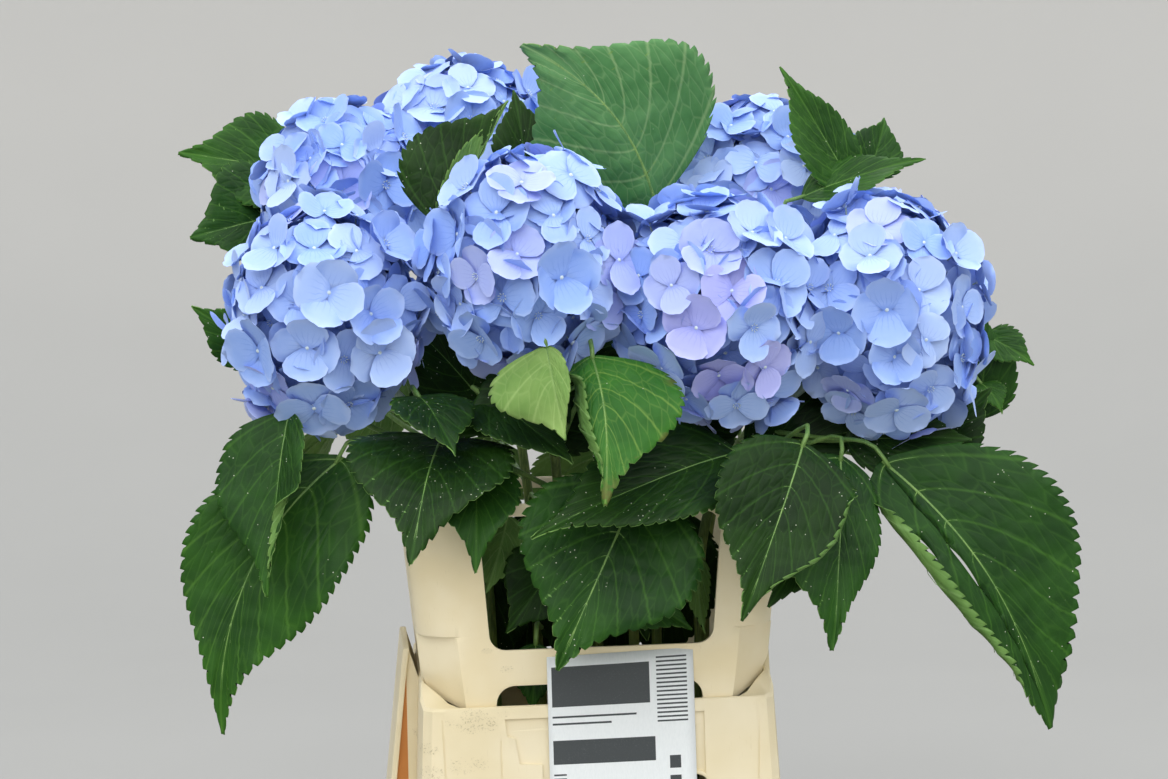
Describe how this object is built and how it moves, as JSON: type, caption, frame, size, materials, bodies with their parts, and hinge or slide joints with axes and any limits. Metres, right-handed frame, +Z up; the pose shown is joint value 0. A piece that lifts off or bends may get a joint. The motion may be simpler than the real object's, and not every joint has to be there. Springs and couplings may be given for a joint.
{
  "type": "cut hydrangea stems in a flower bucket",
  "caption": "Cut mophead hydrangea stems with pale blue blooms and large toothed leaves, standing in a square plastic flower bucket with a slotted collar.",
  "frame": {"origin": "centre of the bucket's flat underside", "axes": "+Z up, the bucket's front with the card faces -Y, +X to the right of the front"},
  "size_m": [0.6555, 0.5158, 0.7271],
  "materials": {
    "bucket_plastic": "moulded cream plastic, scuffed",
    "collar_plastic": "moulded cream plastic, satin",
    "card": "smooth white card with plain grey blocks",
    "stem": "green cut stem, faintly ribbed",
    "leaf": "quilted leaf with pale veins, satin",
    "petal": "thin matt sepal, pale blue with lilac tints"
  },
  "bodies": {
    "root": {"bucket": "bucket_plastic", "collar": "collar_plastic", "label_card": "card", "stem_front_left": "stem", "stem_front_mid_left": "stem", "stem_front_mid_right": "stem", "stem_front_right": "stem", "stem_upper_left": "stem", "stem_upper_mid_left": "stem", "stem_upper_mid_right": "stem", "stem_upper_middle": "stem", "stem_back_middle": "stem", "stem_back_right": "stem", "foliage_front_left": "leaf", "foliage_front_mid_left": "leaf", "foliage_front_mid_right": "leaf", "foliage_front_right": "leaf", "foliage_upper_left": "leaf", "foliage_upper_mid_left": "leaf", "foliage_upper_mid_right": "leaf", "foliage_upper_middle": "leaf", "foliage_back_middle": "leaf", "foliage_back_right": "leaf", "bloom_front_left": "petal", "bloom_front_mid_left": "petal", "bloom_front_mid_right": "petal", "bloom_front_right": "petal", "bloom_upper_left": "petal", "bloom_upper_mid_left": "petal", "bloom_upper_mid_right": "petal", "bloom_upper_middle": "petal", "bloom_back_middle": "petal", "bloom_back_right": "petal"}
  },
  "joints": []
}
